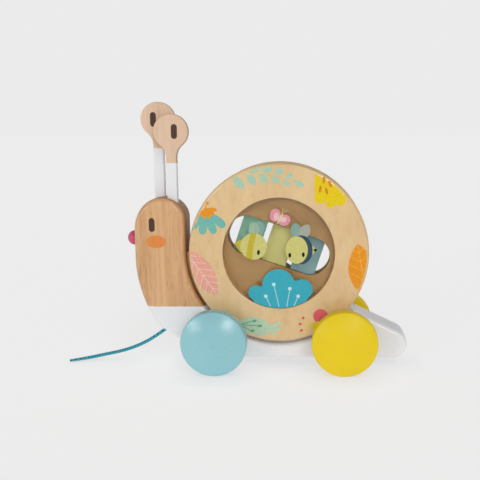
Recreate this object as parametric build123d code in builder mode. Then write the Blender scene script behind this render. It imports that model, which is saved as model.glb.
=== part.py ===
from build123d import *
from math import cos, pi, radians, sin, tan
import os

os.makedirs("parts", exist_ok=True)

# A wooden pull-along snail. X runs from the head (-X) to the tail (+X), Z is up and the floor is
# at Z = 0. "Near" pieces lie on the -Y side of the middle plane and "far" pieces on the +Y side.

# ---- driving dimensions, millimetres ----
length = 263.2  # nose tip to tail tip
shell_x = 11.8  # axis of the shell, measured from the middle of the length
shell_z = 108.4
shell_r = 83.0  # outer radius of the two big rings

board_t = 7.5  # each outer board of the body
core_t = 17.0  # middle board of the body
body_round = 4.5
corner_round = 5.0
base_z = 7.8  # underside of the body
cradle_r = shell_r + 3.5  # hollow in the outer boards

head_front = shell_x - 133.8
head_back = shell_x - cradle_r
head_top_x = shell_x - 108.5
head_top_z = 159.2
brow_z = 128.5  # where the front of the head starts to round over
nape_z = 139.0  # where the back of the head starts to round over
chin_z = 102.0  # where the front starts to curve back into the chest

belly_x = shell_x - 50.0  # where the chest meets the level underside
tail_r = 14.0
tail_slope = 25.5  # degrees

ring_t = 10.5
ring_round = 3.0
hole_r = 51.5
hole_round = 0.8
drum_r = 70.0  # smaller middle of the shell, which sits in the cradle
drum_t = 18.0
drum_clear = 0.7
panel_t = 4.25
channel_t = drum_t - 2 * panel_t
window_t = 2.0
window_set_back = 1.0

slot_long = 98.5
slot_wide = 35.8
slot_tilt = -18.7  # degrees, lower towards the tail
slot_x = shell_x - 0.5
slot_z = shell_z + 6.0
channel_long = 104.0
channel_wide = 40.6
tile_round = 0.6
tile_long = 23.2
tile_high = 40.0
tile_t = 8.5
tile_places = {"left": -27.8, "middle": 0.45, "right": 28.6}  # along the slot, from its middle

antenna_t = 6.5
antenna_round = 1.2
stem_wide = 9.6
eye_disc_r = 16.0
neck_round = 15.0
neck_drop = 12.8  # from the middle of the disc to the top of the straight stem
antenna_long = 115.3  # middle of the disc to the foot of the stem
antenna_travel = 11.0
slide_clear = 0.3
channel_floor = 103.6
channel_top = 169.0  # above the head, so that the channel is open there
channel_depth = antenna_t + 2.5 * slide_clear
antenna_x = {"near": shell_x - 98.6, "far": shell_x - 112.2}
antenna_z = {"near": 219.3, "far": 219.3 + antenna_travel}  # middle of each disc at rest

peg_r = 2.0
peg_z = 125.0
peg_hold = 3.5  # how deep a stop peg sits in the wood at each end

wheel_r = 30.0
wheel_in = 34.0  # inner face of a wheel, from the middle plane
wheel_tread = 11.0
wheel_dome = 7.0  # how far the middle of its outer face stands out from its rim
wheel_round = 2.0
axle_r = 4.0
axle_half = 46.0
axle_clear = 0.08
spacer_r = 8.0
spacer_clear = 0.3
axle_z = wheel_r
axle_x = {"front": shell_x - 58.2, "rear": shell_x + 60.3}

nose_r = 7.0
nose_x = -length / 2 + nose_r
nose_z = 120.5
nose_peg_r = 2.0
nose_peg_long = 9.0

cord_r = 1.6
cord_bore_r = 2.4
knot_r = 3.6
knot_clear = 0.6
knot_bite = 0.4  # how far the cord runs into its knot
chest_exit = (shell_x - 106.5, 34.2)  # x and z of the hole in the chest
cord_slope = 37.0  # degrees below level, where the cord leaves the chest
knot_depth = 14.0

# ---- values worked out from them ----
body_half = core_t / 2 + board_t
panel_face = drum_t / 2
ring_face = panel_face + ring_t
side = {"near": -1, "far": 1}
tail_x = length / 2 - tail_r
tail_z = base_z + tail_r
tail_top = (tail_x + tail_r * sin(radians(tail_slope)), tail_z + tail_r * cos(radians(tail_slope)))
slot_dir = Vector(cos(radians(slot_tilt)), 0, sin(radians(slot_tilt)))
cord_dir = Vector(-cos(radians(cord_slope)), 0, -sin(radians(cord_slope)))
knot_at = Vector(chest_exit[0], 0, chest_exit[1]) - cord_dir * knot_depth


def side_plane(y):
    """Plane at the given Y. Sketches are drawn on it as (x, z) and extruded towards -Y."""
    return Plane.XZ.offset(-y)


def layer_top(half_side, inner, thickness):
    """Y of a layer's +Y face, where the layer lies at distance inner from the middle plane."""
    return inner + thickness if half_side > 0 else -inner


def finish(piece, name):
    """Label a finished piece and write it to its own STEP file."""
    piece.part.label = name
    export_step(piece.part, f"parts/{name}.step")


# ---- body: three boards with one outline ----
def tail_line(x):
    """Height of the sloping top of the tail."""
    return tail_top[1] + (tail_top[0] - x) * tan(radians(tail_slope))


def body_outline():
    """Head, chest, underside and tail. The last two lines lie inside the cradle, cut away later."""
    inside_x = shell_x + 40.0
    Line((head_back, shell_z), (head_back, nape_z))
    EllipticalCenterArc(
        (head_top_x, nape_z), head_back - head_top_x, head_top_z - nape_z, 0, arc_size=90
    )
    EllipticalCenterArc(
        (head_top_x, brow_z), head_top_x - head_front, head_top_z - brow_z, 90, arc_size=90
    )
    Line((head_front, brow_z), (head_front, chin_z))
    Spline(
        (head_front, chin_z),
        (shell_x - 126.2, 62.5),
        (shell_x - 113.0, 39),
        (shell_x - 93.7, 24.2),
        (belly_x, base_z),
        tangents=((0, -1), (1, 0)),
    )
    Line((belly_x, base_z), (tail_x, base_z))
    CenterArc((tail_x, tail_z), tail_r, -90, 180 - tail_slope)
    Line(tail_top, (inside_x, tail_line(inside_x)))
    Line((inside_x, tail_line(inside_x)), (head_back, shell_z))


for name, half_side in side.items():
    with BuildPart() as side_board:
        with BuildSketch(side_plane(layer_top(half_side, core_t / 2, board_t))):
            with BuildLine():
                body_outline()
            make_face()
            with Locations((shell_x, shell_z)):
                Circle(cradle_r, mode=Mode.SUBTRACT)
        extrude(amount=board_t)
        tail_corner = side_board.edges().filter_by(Axis.Y).sort_by_distance(
            (shell_x + cradle_r, 0, shell_z)
        )[0]
        fillet(tail_corner, corner_round)
        outer_face = side_board.faces().filter_by(Axis.Y).sort_by(Axis.Y)[-1 if half_side > 0 else 0]
        fillet(outer_face.edges(), body_round)
        with BuildSketch(side_plane(body_half)):
            for x in axle_x.values():
                with Locations((x, axle_z)):
                    Circle(axle_r + axle_clear)
        extrude(amount=2 * body_half, mode=Mode.SUBTRACT)
        with BuildSketch(side_plane(half_side * core_t / 2)):
            with Locations((antenna_x[name], peg_z)):
                Circle(peg_r)
        extrude(amount=-half_side * peg_hold, mode=Mode.SUBTRACT)
    finish(side_board, f"side_board_{name}")

with BuildPart() as body_core:
    with BuildSketch(side_plane(core_t / 2)):
        with BuildLine():
            body_outline()
        make_face()
        with Locations((shell_x, shell_z)):
            Circle(drum_r + drum_clear, mode=Mode.SUBTRACT)
        for x in axle_x.values():
            with Locations((x, axle_z)):
                Circle(axle_r + axle_clear, mode=Mode.SUBTRACT)
        with Locations((knot_at.X, knot_at.Z)):
            Circle(knot_r + knot_clear, mode=Mode.SUBTRACT)
    extrude(amount=core_t)
    for name, half_side in side.items():
        # channel for the antenna's stem, open at the top of the head and towards its side board
        with BuildSketch(side_plane(half_side * core_t / 2)):
            with Locations((antenna_x[name], (channel_floor + channel_top) / 2)):
                Rectangle(stem_wide + 2 * slide_clear, channel_top - channel_floor)
        extrude(amount=half_side * channel_depth, mode=Mode.SUBTRACT)
        with BuildSketch(side_plane(half_side * core_t / 2)):
            with Locations((antenna_x[name], peg_z)):
                Circle(peg_r)
        extrude(amount=half_side * (channel_depth + peg_hold), mode=Mode.SUBTRACT)
    with BuildSketch(Plane(origin=knot_at, z_dir=cord_dir)):
        Circle(cord_bore_r)
    extrude(amount=2 * knot_depth, mode=Mode.SUBTRACT)
    with BuildSketch(Plane(origin=(head_front, 0, nose_z), z_dir=(1, 0, 0))):
        Circle(nose_peg_r)
    extrude(amount=nose_peg_long, mode=Mode.SUBTRACT)
finish(body_core, "body_core")

with BuildPart() as nose_ball:
    with Locations((nose_x, 0, nose_z)):
        Sphere(nose_r)
    split(bisect_by=Plane(origin=(head_front, 0, 0), z_dir=(-1, 0, 0)), keep=Keep.TOP)
    with BuildSketch(Plane(origin=(head_front, 0, nose_z), z_dir=(1, 0, 0))):
        Circle(nose_peg_r)
    extrude(amount=nose_peg_long)
finish(nose_ball, "nose_ball")


# ---- antennas ----
for name, half_side in side.items():
    x, disc_z = antenna_x[name], antenna_z[name]
    slot_low = peg_z if name == "far" else peg_z - antenna_travel
    front_y = half_side * (core_t / 2 - slide_clear)
    with BuildPart() as antenna:
        with BuildSketch(side_plane(front_y)) as board_face:
            with Locations((x, disc_z)):
                Circle(eye_disc_r)
            with Locations((x, disc_z - antenna_long)):
                Rectangle(stem_wide, antenna_long - neck_drop, align=(Align.CENTER, Align.MIN))
            necks = [
                corner for corner in board_face.vertices()
                if disc_z - eye_disc_r - 1 < corner.Y < disc_z - neck_drop - 0.1
            ]
            fillet(necks, neck_round)
            with Locations((x, slot_low + antenna_travel / 2)):
                SlotCenterToCenter(
                    antenna_travel, 2 * (peg_r + slide_clear), rotation=90, mode=Mode.SUBTRACT
                )
        extrude(amount=half_side * antenna_t)
        rims = antenna.faces().filter_by(Axis.Y)
        outside = [face.outer_wire().edges() for face in rims]
        fillet([edge for edges in outside for edge in edges], antenna_round)
    finish(antenna, f"antenna_{name}")

    with BuildPart() as stop_peg:
        with BuildSketch(side_plane(half_side * (core_t / 2 + peg_hold))):
            with Locations((x, peg_z)):
                Circle(peg_r)
        extrude(amount=half_side * (channel_depth + 2 * peg_hold))
    finish(stop_peg, f"stop_peg_{name}")


# ---- shell: two rings on a smaller drum of three plates ----
for name, half_side in side.items():
    with BuildPart() as shell_ring:
        with BuildSketch(side_plane(layer_top(half_side, panel_face, ring_t))):
            with Locations((shell_x, shell_z)):
                Circle(shell_r)
                Circle(hole_r, mode=Mode.SUBTRACT)
        extrude(amount=ring_t)
        rims = shell_ring.edges().filter_by(GeomType.CIRCLE)
        fillet(rims.filter_by(lambda edge: edge.radius > hole_r + 1), ring_round)
        hole_rims = shell_ring.edges().filter_by(GeomType.CIRCLE).filter_by(
            lambda edge: abs(edge.radius - hole_r) < 0.1
        )
        fillet(hole_rims.sort_by(Axis.Y)[-1 if half_side > 0 else 0], hole_round)
    finish(shell_ring, f"shell_ring_{name}")

    with BuildPart() as shell_panel:
        with BuildSketch(side_plane(layer_top(half_side, channel_t / 2, panel_t))):
            with Locations((shell_x, shell_z)):
                Circle(drum_r)
            with Locations((slot_x, slot_z)):
                SlotOverall(slot_long, slot_wide, rotation=slot_tilt, mode=Mode.SUBTRACT)
        extrude(amount=panel_t)
    finish(shell_panel, f"shell_panel_{name}")

    window_face = ring_face - window_set_back
    with BuildPart() as window:
        with BuildSketch(side_plane(layer_top(half_side, window_face - window_t, window_t))):
            with Locations((shell_x, shell_z)):
                Circle(hole_r)
        extrude(amount=window_t)
    finish(window, f"window_{name}")

with BuildPart() as shell_channel:
    with BuildSketch(side_plane(channel_t / 2)):
        with Locations((shell_x, shell_z)):
            Circle(drum_r)
        with Locations((slot_x, slot_z)):
            Rectangle(channel_long, channel_wide, rotation=slot_tilt, mode=Mode.SUBTRACT)
    extrude(amount=channel_t)
finish(shell_channel, "shell_channel")

for name, place in tile_places.items():
    with BuildPart() as tile:
        with BuildSketch(side_plane(tile_t / 2)):
            with Locations((slot_x + place * slot_dir.X, slot_z + place * slot_dir.Z)):
                Rectangle(tile_long, tile_high, rotation=slot_tilt)
        extrude(amount=tile_t)
        fillet(tile.edges(), tile_round)
    finish(tile, f"tile_{name}")


# ---- running gear ----
def wheel_profile(half_side):
    """Half section of a wheel with a domed outer face, drawn as (radius, y)."""
    rim_y = half_side * (wheel_in + wheel_tread)
    inner_y, bore_end = half_side * wheel_in, half_side * axle_half
    apex = (0, rim_y + half_side * wheel_dome)
    Polyline((0, bore_end), (axle_r, bore_end), (axle_r, inner_y), (wheel_r, inner_y), (wheel_r, rim_y))
    TangentArc(apex, (wheel_r, rim_y), tangent=(1, 0))
    Line(apex, (0, bore_end))


for end, x in axle_x.items():
    with BuildPart() as axle:
        with BuildSketch(side_plane(axle_half)):
            with Locations((x, axle_z)):
                Circle(axle_r)
        extrude(amount=2 * axle_half)
    finish(axle, f"axle_{end}")

    for name, half_side in side.items():
        with BuildPart() as wheel:
            with BuildSketch(Plane(origin=(x, 0, axle_z), x_dir=(1, 0, 0), z_dir=(0, 0, 1))):
                with BuildLine():
                    wheel_profile(half_side)
                make_face()
            revolve(axis=Axis((x, 0, axle_z), (0, 1, 0)))
            rims = wheel.edges().filter_by(GeomType.CIRCLE)
            fillet(rims.filter_by(lambda edge: edge.radius > wheel_r - 0.1), wheel_round)
        finish(wheel, f"wheel_{end}_{name}")

        spacer_in = body_half + spacer_clear
        spacer_t = wheel_in - spacer_in
        with BuildPart() as spacer:
            with BuildSketch(side_plane(layer_top(half_side, spacer_in, spacer_t))):
                with Locations((x, axle_z)):
                    Circle(spacer_r)
                    Circle(axle_r, mode=Mode.SUBTRACT)
            extrude(amount=spacer_t)
        finish(spacer, f"spacer_{end}_{name}")


# ---- pull cord: a knot in the chest and a run down to the floor ----
def route():
    """The cord from its knot to its end on the floor."""
    start = knot_at + cord_dir * (knot_r - knot_bite)
    return [
        tuple(start),
        (shell_x - 119.5, 0.0, 24.4),
        (shell_x - 136.5, 0.0, 15.0),
        (shell_x - 153.0, -0.2, 9.3),
        (shell_x - 169.5, -0.8, 6.0),
        (shell_x - 187.0, -2.2, 2.4),
        (shell_x - 202.5, -8.0, 1.65),
    ]


def bend_radii(points):
    """For each inner point, 0.45 of the shorter run divided by the tangent of half the turn."""
    radii = []
    for before, here, after in zip(points, points[1:], points[2:]):
        run_in = Vector(here) - Vector(before)
        run_out = Vector(after) - Vector(here)
        turn = radians(run_in.get_angle(run_out))
        radii.append(0.45 * min(run_in.length, run_out.length) / tan(turn / 2))
    return radii


cord_points = route()
cord_radii = bend_radii(cord_points)
with BuildPart() as pull_cord:
    with BuildLine() as cord_path:
        FilletPolyline(*cord_points, radius=cord_radii)
    with BuildSketch(Plane(origin=cord_path.line @ 0, z_dir=cord_path.line % 0)):
        Circle(cord_r)
    sweep()
finish(pull_cord, "pull_cord")
cord_run = sum(edge.length for edge in cord_path.edges())
filled = pull_cord.part.volume / (pi * cord_r**2 * cord_run)
print("cord bend radii", [round(radius) for radius in cord_radii])
print("cord run", round(cord_run, 1), "share of its volume", round(filled, 3))

with BuildPart() as cord_knot:
    with Locations(tuple(knot_at)):
        Sphere(knot_r)
finish(cord_knot, "cord_knot")
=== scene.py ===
from math import atan2, cos, hypot, pi, radians, sin, sqrt, tau

import bmesh
import bpy
from mathutils import Matrix, Vector


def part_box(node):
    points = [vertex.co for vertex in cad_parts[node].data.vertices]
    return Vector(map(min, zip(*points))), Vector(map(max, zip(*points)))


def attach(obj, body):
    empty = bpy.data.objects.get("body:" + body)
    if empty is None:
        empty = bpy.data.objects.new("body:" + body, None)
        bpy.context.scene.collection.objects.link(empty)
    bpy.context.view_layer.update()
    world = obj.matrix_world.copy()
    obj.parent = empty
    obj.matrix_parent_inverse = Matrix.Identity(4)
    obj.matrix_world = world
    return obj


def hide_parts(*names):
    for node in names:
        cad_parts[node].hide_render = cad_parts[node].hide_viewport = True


# A wooden pull-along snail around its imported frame. Metres, +X to the tail, -Y is the near side.

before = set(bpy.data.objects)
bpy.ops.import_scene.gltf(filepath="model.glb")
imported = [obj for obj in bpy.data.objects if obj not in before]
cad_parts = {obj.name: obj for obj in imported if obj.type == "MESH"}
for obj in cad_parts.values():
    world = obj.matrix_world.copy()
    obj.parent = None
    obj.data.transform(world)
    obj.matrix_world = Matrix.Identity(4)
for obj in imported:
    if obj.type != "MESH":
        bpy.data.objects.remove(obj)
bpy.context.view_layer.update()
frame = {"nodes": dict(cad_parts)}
nodes = frame["nodes"]
scene = bpy.context.scene
MM = 0.001
SIDES = {"near": -1, "far": 1}


# ---- places read from the frame ----
def middle(node):
    """Middle of a node's box."""
    low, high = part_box(node)
    return (low + high) / 2


shell_mid = middle("shell_ring_near")
ring_low, ring_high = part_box("shell_ring_near")
ring_r = (ring_high.x - ring_low.x) / 2
ring_face = -ring_low.y
window_face = -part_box("window_near")[0].y
board_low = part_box("side_board_near")[0]
head_face = -board_low.y
head_front = board_low.x
ring_round = 3 * MM  # rounding of the rings' outer rims


# ---- camera ----
def add_camera():
    """Camera at the photograph's angle: slightly above, almost square on to the near side."""
    data = bpy.data.cameras.new("camera")
    data.sensor_width = 36.0
    data.lens = 51.71
    data.shift_x = -0.125
    camera = bpy.data.objects.new("camera", data)
    scene.collection.objects.link(camera)
    stand = (0.04467, -0.64075, 0.21935)
    yaw, pitch, roll = radians(1.228), radians(8.967), radians(-0.107)
    camera.matrix_world = (
        Matrix.Translation(stand)
        @ Matrix.Rotation(yaw, 4, "Z")
        @ Matrix.Rotation(pi / 2 - pitch, 4, "X")
        @ Matrix.Rotation(roll, 4, "Z")
    )
    scene.camera = camera


add_camera()


# ---- materials ----
def tone(red, green, blue):
    """Linear colour from 0-255 display values."""
    def linear(value):
        share = value / 255
        return share / 12.92 if share <= 0.04045 else ((share + 0.055) / 1.055) ** 2.4
    return (linear(red), linear(green), linear(blue), 1.0)


class Graph:
    """A material's nodes, with short calls for the patterns that several materials share."""

    def __init__(self, name):
        self.material = bpy.data.materials.new(name)
        self.material.use_nodes = True
        self.tree = self.material.node_tree
        self.shader = self.tree.nodes["Principled BSDF"]
        self.place = self.add("ShaderNodeTexCoord").outputs["Object"]

    def add(self, kind, inputs=(), **settings):
        """A new node with its settings and inputs. An input is a value or another node's output."""
        node = self.tree.nodes.new(kind)
        for key, value in settings.items():
            setattr(node, key, value)
        for key, value in dict(inputs).items():
            self.put(node, key, value)
        return node

    def put(self, node, key, value):
        if isinstance(value, bpy.types.NodeSocket):
            self.tree.links.new(value, node.inputs[key])
        else:
            node.inputs[key].default_value = value

    def shade(self, **inputs):
        """Sets inputs of the shader, with _ for a space in the name."""
        for key, value in inputs.items():
            self.put(self.shader, key.replace("_", " "), value)

    def noise(self, scale, detail=3.0, rough=0.5, stretch=None):
        """Noise with features about 1/scale metres across. stretch lengthens it along each axis."""
        place = self.place
        if stretch:
            shrink = [1 / share for share in stretch]
            place = self.add("ShaderNodeMapping", {"Vector": place, "Scale": shrink}).outputs[0]
        inputs = {"Vector": place, "Scale": scale, "Detail": detail, "Roughness": rough}
        return self.add("ShaderNodeTexNoise", inputs).outputs["Fac"]

    def spread(self, value, low, high, to_low=0.0, to_high=1.0):
        """value from low..high to to_low..to_high, held at its ends."""
        inputs = {"Value": value, "From Min": low, "From Max": high}
        inputs.update({"To Min": to_low, "To Max": to_high})
        return self.add("ShaderNodeMapRange", inputs).outputs[0]

    def mix(self, share, first, second):
        """Colour between first and second."""
        node = self.add("ShaderNodeMix", data_type="RGBA")
        for index, value in ((0, share), (6, first), (7, second)):
            self.put(node, index, value)
        return node.outputs[2]

    def math(self, operation, first, second=0.0):
        return self.add("ShaderNodeMath", {0: first, 1: second}, operation=operation).outputs[0]

    def axis(self, name, place=None):
        """One coordinate of the place, in metres."""
        return self.add("ShaderNodeSeparateXYZ", {0: place or self.place}).outputs[name]

    def bump(self, height, distance):
        """Relief on the surface, as deep as distance where height goes from 0 to 1."""
        inputs = {"Height": height, "Distance": distance, "Strength": 1.0}
        self.put(self.shader, "Normal", self.add("ShaderNodeBump", inputs).outputs[0])


def wood(
    name, pale, dark, pore, stretch, pitted=0.45, painted_below=None, layer=None, edge_grain_and_shade=0.62
):
    """Fine-grained wood, oiled. stretch lies along its grain and pitted is how dark its pores are.
    painted_below is the height under which it is painted white. layer is the thickness of one
    veneer, for plywood. The last argument is how much darker a board's edges are than its faces:
    dark end grain, and painted shade where the surface turns away from the broad faces."""
    graph = Graph(name)
    broad = graph.noise(75, 3, 0.55, stretch=stretch)
    streaks = graph.noise(420, 4, 0.6, stretch=stretch)
    pores = graph.spread(graph.noise(1000, 1, 0.5, stretch=stretch), 0.60, 0.67)
    pores = graph.math("MULTIPLY", pores, graph.spread(broad, 0.35, 0.6, 0.3, 1.0))
    broad_part, fine_part = graph.math("MULTIPLY", broad, 0.6), graph.math("MULTIPLY", streaks, 0.4)
    grain = graph.math("ADD", broad_part, fine_part)
    colour = graph.mix(graph.spread(grain, 0.38, 0.62), tone(*pale), tone(*dark))
    colour = graph.mix(graph.math("MULTIPLY", pores, pitted), colour, tone(*pore))
    height = graph.math("SUBTRACT", graph.math("MULTIPLY", streaks, 0.5), pores)
    gloss = graph.spread(streaks, 0.3, 0.7, 0.36, 0.5)
    normal = graph.add("ShaderNodeNewGeometry").outputs["Normal"]
    facing = graph.math("ABSOLUTE", graph.axis("Y", normal))
    # darker towards the sides and rounded edges of a board: dark end grain and ply layers, and
    # painted shade where the surface turns away from the broad faces
    edge = graph.spread(facing, 0.55, 0.1)
    if layer:
        cross = graph.math("PINGPONG", graph.math("DIVIDE", graph.axis("Y"), layer), 1.0)
        edge = graph.math("MULTIPLY", edge, graph.spread(cross, 0.3, 0.7, 0.55, 1.0))
    # edges and sides turn towards the pore colour: dark end grain, and painted shade
    colour = graph.mix(graph.math("MULTIPLY", edge, edge_grain_and_shade), colour, tone(*pore))
    if painted_below:
        wobble = graph.math("MULTIPLY", graph.noise(300, 2), 0.0008)
        level = graph.math("ADD", graph.axis("Z"), wobble)
        painted = graph.spread(level, painted_below + 0.0006, painted_below + 0.0003)
        film = graph.math("MULTIPLY", graph.noise(900, 2), 0.25)
        white = graph.mix(graph.noise(40, 2), tone(236, 236, 238), tone(230, 230, 232))
        colour = graph.mix(painted, colour, white)
        bare = graph.math("SUBTRACT", 1.0, painted)
        height = graph.math("ADD", graph.math("MULTIPLY", height, bare), film)
        gloss = graph.spread(painted, 0.0, 1.0, gloss, 0.34)
    oiled = graph.spread(facing, 0.3, 0.7)
    graph.shade(Base_Color=colour, Roughness=gloss, Coat_Roughness=0.08)
    graph.shade(Coat_Weight=graph.math("MULTIPLY", oiled, 0.8))
    graph.shade(Specular_IOR_Level=graph.spread(facing, 0.3, 0.7, 0.1, 0.5))
    graph.bump(height, 0.00005)
    return graph.material


def paint(name, colour, deep, gloss=0.25, shine=0.5):
    """Brushed-on paint: a little orange peel and slow changes of tone."""
    graph = Graph(name)
    slow = graph.noise(35, 3)
    graph.shade(Base_Color=graph.mix(graph.spread(slow, 0.3, 0.7), tone(*colour), tone(*deep)))
    graph.shade(Roughness=graph.spread(graph.noise(140, 3), 0.3, 0.7, gloss - 0.02, gloss + 0.04))
    graph.shade(Specular_IOR_Level=shine)
    graph.bump(graph.noise(500, 2), 0.00001)
    return graph.material


def ink(name, colour, alpha=1.0):
    """Flat printed ink with a faint grain under it."""
    graph = Graph(name)
    grain = graph.spread(graph.noise(600, 4, 0.6), 0.35, 0.65)
    deep = tuple(value * 0.94 for value in colour)
    graph.shade(Base_Color=graph.mix(grain, tone(*colour), tone(*deep)))
    graph.shade(Roughness=graph.spread(grain, 0, 1, 0.4, 0.5), Alpha=alpha, Specular_IOR_Level=0.2)
    graph.bump(grain, 0.00001)
    return graph.material


def clear(name):
    """Clear acrylic sheet."""
    graph = Graph(name)
    graph.shade(Base_Color=(1, 1, 1, 1), Transmission_Weight=1.0, IOR=1.2)
    graph.shade(Roughness=graph.spread(graph.noise(30, 2), 0.3, 0.7, 0.01, 0.03))
    return graph.material


def braid(name, colour, deep, crossings):
    """Braided cord. crossings is how often a strand comes round over the cord's length."""
    graph = Graph(name)
    along_round = graph.add("ShaderNodeTexCoord").outputs["UV"]
    along = graph.math("MULTIPLY", graph.axis("X", along_round), tau * crossings)
    around = graph.math("MULTIPLY", graph.axis("Y", along_round), tau * 2)
    one_way = graph.math("SINE", graph.math("ADD", along, around))
    other_way = graph.math("SINE", graph.math("SUBTRACT", along, around))
    strands = graph.spread(graph.math("MAXIMUM", one_way, other_way), -0.1, 0.9)
    fuzz = graph.noise(3000, 3)
    # painted shade in the grooves between strands: the deep colour fills them, with the fibres' own
    # fuzz over it
    shade = graph.math("MULTIPLY", strands, graph.spread(fuzz, 0.2, 0.8, 0.75, 1.0))
    graph.shade(Base_Color=graph.mix(shade, tone(*deep), tone(*colour)), Roughness=0.75)
    graph.shade(Sheen_Weight=0.2)
    graph.bump(graph.math("ADD", strands, graph.math("MULTIPLY", fuzz, 0.2)), 0.0003)
    return graph.material


# pale, dark and pore colours of each wood, and how far its grain is lengthened along X, Y and Z
BEECH = ((223, 175, 123), (197, 144, 92), (142, 92, 50))
UPRIGHT = (1, 1, 14)
ACROSS = (14, 1, 3)
VENEER = 1.4 * MM
BODY_PAINT_LINE = 57.5 * MM  # height above the floor under which the body is white
head_wood = wood("head_wood", *BEECH, UPRIGHT, painted_below=BODY_PAINT_LINE)
core_wood = wood("core_wood", *BEECH, UPRIGHT, painted_below=BODY_PAINT_LINE)
BIRCH = ((229, 196, 167), (217, 182, 151), (156, 112, 78))
antenna_wood = {
    name: wood(f"antenna_wood_{name}", *BIRCH, UPRIGHT, 0.12, painted_below=height)
    for name, height in (("near", 0.1906), ("far", 0.204))
}
RING_BIRCH = ((228, 196, 144), (218, 182, 129), (158, 110, 70))
# the panel colours are darker than the ring's birch: partly a darker panel wood, and partly painted
# shade of the recess behind the windows
PANEL_BIRCH_AND_RECESS_SHADE = ((168, 125, 54), (151, 110, 45), (104, 72, 34))
ring_ply = wood("ring_ply", *RING_BIRCH, (4, 1, 9), 0.1, layer=VENEER)
panel_ply = wood("panel_ply", *PANEL_BIRCH_AND_RECESS_SHADE, ACROSS, 0.2, layer=VENEER)
dowel_wood = wood("dowel_wood", *BEECH, (1, 14, 1), 0.2, edge_grain_and_shade=0.1)
window_clear = clear("window_clear")
MATERIALS = {
    "side_board_near": head_wood, "side_board_far": head_wood, "body_core": core_wood,
    "antenna_near": antenna_wood["near"], "antenna_far": antenna_wood["far"],
    "shell_ring_near": ring_ply, "shell_ring_far": ring_ply,
    "shell_panel_near": panel_ply, "shell_panel_far": panel_ply, "shell_channel": panel_ply,
    "window_near": window_clear, "window_far": window_clear,
    "tile_left": paint("tile_green", (128, 182, 152), (116, 170, 142), 0.4),
    "tile_middle": paint("tile_olive", (206, 199, 120), (196, 190, 111), 0.4),
    "tile_right": paint("tile_blue_grey", (122, 161, 160), (111, 149, 150), 0.4),
    "nose_ball": paint("nose_pink", (206, 84, 124), (196, 74, 114), 0.2),
    "stop_peg_near": dowel_wood, "stop_peg_far": dowel_wood,
}
wheel_paint = {
    "front": paint("wheel_blue", (142, 198, 206), (136, 193, 201), 0.25, 0.85),
    "rear": paint("wheel_yellow", (238, 208, 3), (230, 200, 2), 0.38, 0.36),
}
for end in ("front", "rear"):
    MATERIALS[f"axle_{end}"] = dowel_wood
    for side in SIDES:
        MATERIALS[f"wheel_{end}_{side}"] = wheel_paint[end]
        MATERIALS[f"spacer_{end}_{side}"] = dowel_wood
# the second colour is the painted shade in the cord's grooves
cord_teal = braid("cord_teal", (50, 178, 194), (4, 106, 130), 34)
for name in ("pull_cord", "cord_knot"):
    MATERIALS[name] = cord_teal

for name, material in MATERIALS.items():
    slots = nodes[name].data.materials
    slots.clear()
    slots.append(material)
for side in SIDES:
    nodes[f"window_{side}"].visible_shadow = False


# ---- pull cord ----
CORD_R = 1.6 * MM


def at_shell(x, y, z):
    """Point given in millimetres, with x from the shell's axis."""
    return Vector((shell_mid.x + x * MM, y * MM, z * MM))


def cord_route():
    """Route of the cord from its knot in the chest to its end on the floor."""
    return [
        at_shell(-97.9, 0.0, 40.7),
        at_shell(-119.5, 0.0, 24.4),
        at_shell(-136.5, 0.0, 15.0),
        at_shell(-153.0, -0.2, 9.3),
        at_shell(-169.5, -0.8, 6.0),
        at_shell(-187.0, -2.2, 2.4),
        at_shell(-202.5, -8.0, 1.65),
    ]


def cord_curve(name, points, radius, tip):
    """Smooth open tube along points, drawn in to the share tip of its radius at its end."""
    data = bpy.data.curves.new(name, "CURVE")
    data.dimensions = "3D"
    data.bevel_depth = radius
    data.bevel_resolution = 5
    data.resolution_u = 8
    data.use_fill_caps = True
    spline = data.splines.new("NURBS")
    spline.points.add(len(points) - 1)
    for place, point in zip(spline.points, points):
        place.co = (*point, 1.0)
    spline.points[-1].radius = tip
    spline.order_u = 3
    spline.use_endpoint_u = True
    curve = bpy.data.objects.new(name, data)
    scene.collection.objects.link(curve)
    data.materials.append(cord_teal)
    return curve


cord = cord_curve("pull_cord_laid", cord_route(), CORD_R, 0.7)
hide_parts("pull_cord")
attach(cord, "body")


# ---- printed shapes, drawn in millimetres as seen from outside: u to the right and v up ----
def ellipse(u, v, wide, high, tilt=0.0, count=40):
    """Ellipse of the given full size."""
    loop = []
    for step in range(count):
        a = tau * step / count
        x, y = cos(a) * wide / 2, sin(a) * high / 2
        c, s = cos(radians(tilt)), sin(radians(tilt))
        loop.append((u + x * c - y * s, v + x * s + y * c))
    return loop


def leaf(root, tip, width, fullness=0.8, lean=1.0, count=22):
    """Leaf from root to tip. lean below 1 moves its widest place towards the root, and a
    smaller fullness makes its ends blunter."""
    root, tip = Vector(root), Vector(tip)
    along = tip - root
    across = Vector((-along.y, along.x)).normalized() * width / 2
    bulge = [sin(pi * (step / count) ** lean) ** fullness for step in range(count + 1)]
    spine = [root + along * step / count for step in range(count + 1)]
    left = [p + across * b for p, b in zip(spine, bulge)]
    right = [p - across * b for p, b in zip(spine[1:-1], bulge[1:-1])]
    return [tuple(p) for p in left + right[::-1]]


def stroke(start, end, width):
    """Straight line with round ends."""
    start, end = Vector(start), Vector(end)
    heading = atan2(end.y - start.y, end.x - start.x)
    loop = []
    for centre, turn in ((end, -pi / 2), (start, pi / 2)):
        for step in range(7):
            a = heading + turn + pi * step / 6
            loop.append((centre.x + cos(a) * width / 2, centre.y + sin(a) * width / 2))
    return loop


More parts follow.
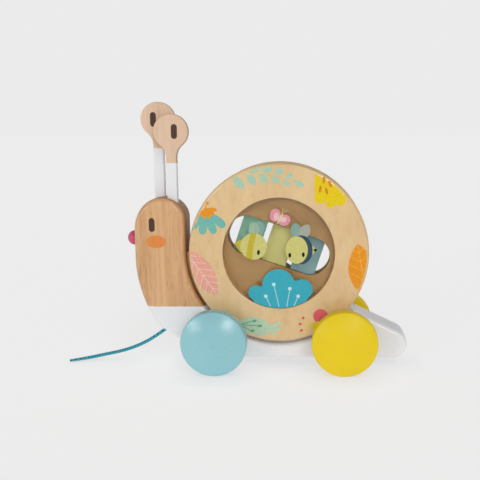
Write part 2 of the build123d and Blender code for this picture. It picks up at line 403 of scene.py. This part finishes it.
def fan(centre, start, stop, outer, petals, notch, sharp=3.0):
    """Open fan of petals round centre, from angle start to stop in degrees. notch is how deep
    the cuts between petals go, and a larger sharp makes them narrower."""
    loop = [centre]
    for petal in range(petals):
        for step in range(13):
            share = step / 12
            a = radians(start + (stop - start) * (petal + share) / petals)
            r = outer * (1 - notch * abs(2 * share - 1) ** sharp)
            loop.append((centre[0] + r * cos(a), centre[1] + r * sin(a)))
    return loop


def lobes(centre, circles, count=120):
    """Outline of overlapping circles (u, v, radius), all seen from centre."""
    loop = []
    for step in range(count):
        a = tau * step / count
        du, dv = cos(a), sin(a)
        reach = 0.0
        for u, v, r in circles:
            ou, ov = u - centre[0], v - centre[1]
            along = ou * du + ov * dv
            inside = r * r - (ou * ou + ov * ov - along * along)
            if inside >= 0:
                reach = max(reach, along + sqrt(inside))
        loop.append((centre[0] + reach * du, centre[1] + reach * dv))
    return loop


def within(loop, radius, sides=90):
    """What the circle holds of the loop: each side of a many-sided circle cuts in turn."""
    for step in range(sides):
        du, dv = cos(tau * step / sides), sin(tau * step / sides)
        kept = []
        for here, after in zip(loop, loop[1:] + loop[:1]):
            inside = radius - here[0] * du - here[1] * dv
            inside_after = radius - after[0] * du - after[1] * dv
            if inside >= 0:
                kept.append(here)
            if inside * inside_after < 0:
                share = inside / (inside - inside_after)
                kept.append(tuple(Vector(here).lerp(Vector(after), share)))
        loop = kept
    return loop


def veins(root, tip, width, count, angle):
    """Midrib and side ribs of a leaf."""
    root, tip = Vector(root), Vector(tip)
    along = tip - root
    heading = atan2(along.y, along.x)
    loops = [stroke(root, root + along * 0.96, 0.7)]
    for step in range(1, count + 1):
        share = step / (count + 1)
        base = root + along * share
        reach = 0.92 * width / 2 * sin(pi * share) ** 0.8 / sin(radians(angle))
        for turn in (-1, 1):
            a = heading + turn * radians(angle)
            loops.append(stroke(base, base + Vector((cos(a), sin(a))) * reach, 0.55))
    return loops


def on_ring(side):
    """Surface of a ring, with its rounded rim."""
    sign = SIDES[side]
    flat_r = ring_r - ring_round

    def place(u, v, lift):
        r = min(hypot(u, v) * MM, ring_r - 0.2 * MM)
        drop = ring_round - sqrt(ring_round**2 - (r - flat_r) ** 2) if r > flat_r else 0.0
        y = sign * (ring_face - drop + lift)
        return Vector((shell_mid.x - sign * u * MM, y, shell_mid.z + v * MM))
    return place


def on_window(side):
    """Flat outer face of a window."""
    sign = SIDES[side]
    return lambda u, v, lift: Vector(
        (shell_mid.x - sign * u * MM, sign * (window_face + lift), shell_mid.z + v * MM)
    )


def on_board(y, sign):
    """Flat face at y looking along sign. u is X and v is Z, both in millimetres."""
    return lambda u, v, lift: Vector((u * MM, y + sign * lift, v * MM))


def skin(loop, place, lift, step):
    """Thin closed skin over one loop, laid on a surface lift above it."""
    mesh = bmesh.new()
    mesh.faces.new([mesh.verts.new((u, v, 0)) for u, v in loop])
    bmesh.ops.triangulate(mesh, faces=mesh.faces)
    while step:
        long_edges = [edge for edge in mesh.edges if edge.calc_length() > step]
        if not long_edges:
            break
        bmesh.ops.subdivide_edges(mesh, edges=long_edges, cuts=1)
        bmesh.ops.triangulate(mesh, faces=mesh.faces)
    for vert in mesh.verts:
        vert.co = place(vert.co.x, vert.co.y, lift)
    mesh.normal_update()
    bmesh.ops.solidify(mesh, geom=mesh.faces[:], thickness=0.01 * MM)
    bmesh.ops.recalc_face_normals(mesh, faces=mesh.faces)
    return mesh


def printed(name, loops, place, material, body, layer=0, step=None):
    """One printed colour. Each loop lies a little above the one before, so none share a plane."""
    data = bpy.data.meshes.new(name)
    whole = bmesh.new()
    for index, loop in enumerate(loops):
        lift = (0.05 + 0.05 * layer + 0.03 * index / len(loops)) * MM
        part = skin(loop, place, lift, step)
        part.to_mesh(data)
        part.free()
        whole.from_mesh(data)
    whole.to_mesh(data)
    whole.free()
    data.materials.append(material)
    piece = bpy.data.objects.new(name, data)
    scene.collection.objects.link(piece)
    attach(piece, body)


INKS = {
    "mint": (174, 208, 182), "yellow": (236, 206, 14), "amber": (222, 138, 30),
    "teal": (118, 188, 175), "orange": (238, 151, 30), "pink": (236, 168, 147),
    "pale_pink": (249, 208, 198), "light_orange": (248, 184, 70), "pale_green": (190, 216, 184),
    "sea": (100, 175, 150), "coral": (228, 100, 108), "rose": (226, 150, 162),
    "blush": (238, 192, 200), "cream": (228, 210, 152), "bee": (210, 203, 124),
    "ochre": (200, 180, 52), "navy": (50, 78, 94), "black": (18, 18, 18),
    "cloud": (60, 174, 192), "ice": (190, 235, 240), "brown": (82, 60, 50), "cheek": (229, 141, 70),
}
inks = {name: ink(f"ink_{name}", colour) for name, colour in INKS.items()}
wing_film = {
    "mint": ink("film_mint", (174, 204, 176), 0.7), "teal": ink("film_teal", (146, 186, 176), 0.7),
    "grey": ink("film_grey", (188, 192, 180), 0.7),
}
RING_PRINT_R = 82.6  # prints on the ring end at this distance from its middle
WINDOW_PRINT_R = 51.2
RING_STEP = 3.0  # longest edge of a print on the ring, so that it follows the rounded rim


def cut_to(loops, radius):
    """The parts of the loops that the circle holds."""
    return [cut for cut in (within(loop, radius) for loop in loops) if len(cut) > 2]


def ring_print(side, name, loops, colour, layer=0):
    printed(
        f"ring_{side}_{name}", cut_to(loops, RING_PRINT_R), on_ring(side), inks[colour],
        "shell", layer, RING_STEP,
    )


def sprig():
    """Pairs of leaves along a stem that bends inward from the rim."""
    def stem(step):
        a = radians(120 - 8.4 * step)
        return Vector((cos(a), sin(a))) * (82 - 3.5 * step)
    inward, outward = Vector((0.67, -0.74)), Vector((0.86, 0.5))
    loops = [leaf(stem(5) + Vector((0, 4)), stem(5) + Vector((9.6, -1)), 5.4, 0.65, 1.25)]
    for step in range(5):
        root, size = stem(step), 14.6 - 1.6 * step
        loops.append(leaf(root, root + inward * size, size * 0.54, 0.65, 1.25))
        if step:
            foot = root + outward * 2.5
            loops.append(leaf(foot, foot + outward * size, size * 0.54, 0.65, 1.25))
    for step in (2, 3, 4):
        loops.append(stroke(stem(step), stem(step + 1), 0.5))
    return loops


for side in SIDES:
    ring_print(side, "sprig", sprig(), "mint")
    petals = [((37.6, 76), 50.6), ((47.2, 76), 47.4), ((56.0, 72), 48.8), ((64.2, 66), 54.5)]
    bloom = [stroke(top, (top[0], low), 9.6) for top, low in petals]
    ring_print(side, "bloom", bloom, "yellow")
    seeds = [(41.1, 67.6, -5), (46.7, 63.8, 25), (37.9, 59.3, -8), (43.5, 57.6, 12)]
    seed_loops = [ellipse(u, v, 2.4, 6.4, tilt) for u, v, tilt in seeds]
    ring_print(side, "bloom_seeds", seed_loops, "amber", 1)
    ring_print(side, "flower", [fan((-66, 41), -30, -142, 23.5, 4, 0.36)], "teal")
    ring_print(side, "flower_heart", [fan((-66, 42), 5, -150, 10.5, 5, 0.35, 1.5)], "orange", 1)
    dot = [ellipse(-64.6, 46.5, 2.8, 3.4), stroke((-66.5, 41), (-66, 44.5), 1.0)]
    ring_print(side, "flower_dot", dot, "orange", 2)
    pink = ((-87, 4.5), (-57.5, -38.5), 22.5)
    ring_print(side, "pink_leaf", [leaf(*pink)], "pink")
    ring_print(side, "pink_leaf_veins", veins(*pink, 6, 48), "pale_pink", 1)
    amber = ((81, -41), (72, 9.3), 25)
    ring_print(side, "orange_leaf", [leaf(*amber)], "orange")
    ring_print(side, "orange_leaf_veins", veins(*amber, 5, 52), "light_orange", 1)
    ring_print(side, "bud", [ellipse(-23, -69, 30, 18, -8)], "pale_green")
    crown = [stroke((-10, -70.2), tip, 3.2) for tip in ((0, -65.2), (0.6, -71), (-4.6, -76.2))]
    ring_print(side, "bud_crown", crown, "pale_green", 1)
    ends = [(-24, -63.4), (-19, -68.2), (-26, -73)]
    ring_print(side, "bud_stalks", [stroke((-37, -67), end, 0.7) for end in ends], "sea", 1)
    ring_print(side, "bud_seeds", [ellipse(u + 1, v, 4.2, 2.4, 10) for u, v in ends], "sea", 2)
    ring_print(side, "blossom", [ellipse(38.4, -58.6, 13.6, 13.6)], "coral")
    ring_print(side, "blossom_base", [ellipse(36, -69, 10, 11)], "yellow", 1)
    dots = [(22.3, -60.4), (19.6, -66.2), (20.7, -72.3)]
    ring_print(side, "blossom_stamens", [stroke((34, -68), dot, 0.6) for dot in dots], "yellow", 2)
    ring_print(side, "blossom_dots", [ellipse(u, v, 2.8, 2.8) for u, v in dots], "coral", 3)


def window_print(side, name, loops, material, layer=0):
    printed(
        f"window_{side}_{name}", cut_to(loops, WINDOW_PRINT_R), on_window(side), material,
        "shell", layer,
    )


def butterfly(side):
    """Small butterfly in the upper part of the window."""
    wings = [ellipse(-3.0, 35.6, 10, 12, -10), ellipse(5.3, 31.0, 10, 11.5, -60)]
    window_print(side, "butterfly_wings", wings, inks["rose"])
    spots = [ellipse(-2.0, 34.4, 5, 7, -10), ellipse(4.5, 31.5, 5, 6, -60)]
    window_print(side, "butterfly_spots", spots, inks["blush"], 1)
    window_print(side, "butterfly_body", [leaf((-1.5, 27.2), (4.2, 37.6), 2.4)], inks["cream"], 2)
    feelers = [stroke((3.6, 37), tip, 0.5) for tip in ((4.2, 42), (8, 40.3))]
    window_print(side, "butterfly_feelers", feelers, inks["cream"], 1)


def bush(side):
    """Round-topped bush in the lower part of the window, with pins."""
    sides = [(-21.2, -36.8, 7.2), (21.5, -33.5, 9.6), (-15, -41, 9.5), (17, -39.5, 10)]
    circles = [(-0.5, -29.5, 15), *sides, (-9, -45, 12), (9, -45, 12)]
    window_print(side, "bush", [lobes((0, -42), circles)], inks["cloud"])
    pins = [((-4.8, -28.9), (0, -49.9)), ((10.1, -32.8), (7.1, -49.9))]
    pins += [((-12.3, -40), (-7.9, -49.9)), ((17.7, -39.9), (13.9, -49.1))]
    window_print(side, "bush_stalks", [stroke(*pin, 0.6) for pin in pins], inks["ice"], 1)
    heads = [ellipse(*head, 3.4, 3.4) for head, foot in pins]
    window_print(side, "bush_pins", heads, inks["ice"], 2)


def bees(side):
    """Two simple bees, one in profile and one facing."""
    window_print(side, "bee_left_wing_back", [ellipse(-17.6, 23.8, 10, 13, 0)], wing_film["teal"])
    window_print(side, "bee_left_wing", [ellipse(-22.4, 22.6, 10, 13, 0)], wing_film["mint"], 1)
    band = [(-25.5, 18.6), (-22.9, 18.9), (-20.3, 18.6), (-23.2, 7)]
    band += [(-24.6, -5.5), (-27.3, -4.9), (-30, -3.5), (-28.6, 7)]
    tail = [(-40.6, 10.4), (-35.5, 1.2), (-26, 4), (-28, 15), (-32.6, 13.5)]
    window_print(side, "bee_left_tail", [tail], inks["ochre"], 1)
    window_print(side, "bee_left_body", [ellipse(-23, 6.6, 24.6, 24.6)], inks["bee"], 2)
    window_print(side, "bee_left_stripe", [band], inks["ochre"], 3)
    window_print(side, "bee_left_eye", [ellipse(-18.6, 1.1, 2.6, 4.6, -8)], inks["black"], 3)
    wing, wing_back = leaf((16.5, 14), (15.2, 28.5), 10, 0.6), leaf((20, 14), (27.5, 27), 10, 0.6)
    window_print(side, "bee_right_wing", [wing], wing_film["teal"])
    window_print(side, "bee_right_wing_back", [wing_back], wing_film["grey"], 1)
    tail, tip = leaf((16, 4), (34.4, 3.4), 18, 0.8, 0.6), leaf((31.6, 3.5), (35.2, 3.3), 2.4)
    window_print(side, "bee_right_tail", [tail], inks["bee"], 1)
    window_print(side, "bee_right_tail_tip", [tip], inks["black"], 2)
    window_print(side, "bee_right_stripe", [ellipse(20.6, 3.6, 21, 27, 0)], inks["navy"], 2)
    window_print(side, "bee_right_body", [ellipse(16.4, 3.4, 20.6, 25.6)], inks["bee"], 3)
    eyes = [ellipse(10.1, -1.4, 2.6, 4.4), ellipse(22.5, -0.9, 2.6, 4.4)]
    window_print(side, "bee_right_eyes", eyes, inks["black"], 4)


bees("near")
for side in SIDES:
    butterfly(side)
    bush(side)

# face of the snail, and the pupils on both faces of each antenna
EYE_BACK, EYE_Z = 17.0, 134.5  # how far the eye lies behind the front of the head, and its height
CHEEK_Z = 118.8
DISC_R = 16.0
LOOK = {"near": 3.3, "far": -4.1}  # how far each pupil lies to the side of its disc's middle
for side, sign in SIDES.items():
    face = on_board(sign * head_face, sign)
    eye_x = head_front / MM + EYE_BACK
    eye = stroke((eye_x, EYE_Z + 3.8), (eye_x, EYE_Z - 3.8), 5.4)
    printed(f"eye_{side}", [eye], face, inks["brown"], "body", 1)
    cheek = ellipse(eye_x + 3.6, CHEEK_Z, 18.2, 11.8)
    printed(f"cheek_{side}", [cheek], face, inks["cheek"], "body")
    low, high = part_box(f"antenna_{side}")
    pupil_x, pupil_z = (low.x + high.x) / 2 / MM + LOOK[side], high.z / MM - DISC_R
    pupil = stroke((pupil_x, pupil_z + 4), (pupil_x, pupil_z - 4), 5.5)
    for facing, y in (("near", low.y), ("far", high.y)):
        printed(
            f"pupil_{side}_{facing}", [pupil], on_board(y, SIDES[facing]), inks["brown"],
            f"{side}_antenna",
        )


# ---- floor and light ----
def add_floor():
    """Bright glowing paper floor with a painted contact shadow: its glow dims where something
    stands close over it.
    """
    mesh = bmesh.new()
    bmesh.ops.create_circle(mesh, cap_ends=True, segments=96, radius=40)
    data = bpy.data.meshes.new("floor")
    mesh.to_mesh(data)
    mesh.free()
    floor = bpy.data.objects.new("floor", data)
    scene.collection.objects.link(floor)
    graph = Graph("floor_paper")
    fibres = graph.noise(90, 2)
    graph.shade(Base_Color=graph.mix(fibres, tone(148, 148, 148), tone(151, 151, 151)))
    graph.shade(Roughness=0.9, Specular_IOR_Level=0.0)
    # painted contact shadow: the floor's glow dims where something stands close over it
    painted_shadow_open_share = graph.add("ShaderNodeAmbientOcclusion", {"Distance": 0.028}).outputs["AO"]
    graph.shade(Emission_Color=graph.mix(painted_shadow_open_share, tone(224, 224, 225), tone(255, 255, 255)))
    graph.shade(Emission_Strength=0.675)
    data.materials.append(graph.material)


def add_sun(name, toward, strength, angle):
    """Broad soft light from the direction toward."""
    data = bpy.data.lights.new(name, "SUN")
    data.energy = strength
    data.angle = radians(angle)
    sun = bpy.data.objects.new(name, data)
    sun.rotation_mode = "QUATERNION"
    sun.rotation_quaternion = Vector(toward).to_track_quat("Z", "Y")
    scene.collection.objects.link(sun)


def add_world(horizon, overhead, beyond_tail):
    """Plain backdrop that lights the toy brightly from the horizon, less from overhead and
    from beyond the tail. The camera itself sees the horizon's colour everywhere."""
    world = bpy.data.worlds.new("studio")
    world.use_nodes = True
    nodes, links = world.node_tree.nodes, world.node_tree.links
    split = nodes.new("ShaderNodeSeparateXYZ")
    links.new(nodes.new("ShaderNodeTexCoord").outputs["Generated"], split.inputs[0])
    backdrop = nodes.new("ShaderNodeRGB").outputs[0]
    backdrop.default_value = tone(*horizon)

    def mix_in(share, colour):
        mix = nodes.new("ShaderNodeMix")
        mix.data_type = "RGBA"
        mix.inputs[7].default_value = tone(*colour)
        links.new(share, mix.inputs[0])
        links.new(backdrop, mix.inputs[6])
        return mix.outputs[2]

    for axis, low, high, dim in (("Z", 0.22, 0.75, overhead), ("X", 0.5, 0.95, beyond_tail)):
        share = nodes.new("ShaderNodeMapRange")
        share.inputs["From Min"].default_value = low
        share.inputs["From Max"].default_value = high
        links.new(split.outputs[axis], share.inputs["Value"])
        backdrop = mix_in(share.outputs[0], dim)
    backdrop = mix_in(nodes.new("ShaderNodeLightPath").outputs["Is Camera Ray"], horizon)
    links.new(backdrop, nodes["Background"].inputs["Color"])
    scene.world = world


add_floor()
add_world((235, 235, 235), (142, 142, 142), (146, 146, 146))
add_sun("key", (0.28, -0.92, 0.28), 0.38, 15)
add_sun("fill", (-0.62, -0.75, 0.22), 0.3, 16)
add_sun("top", (0.3, -0.62, 0.72), 0.44, 30)
scene.view_settings.view_transform = "Standard"
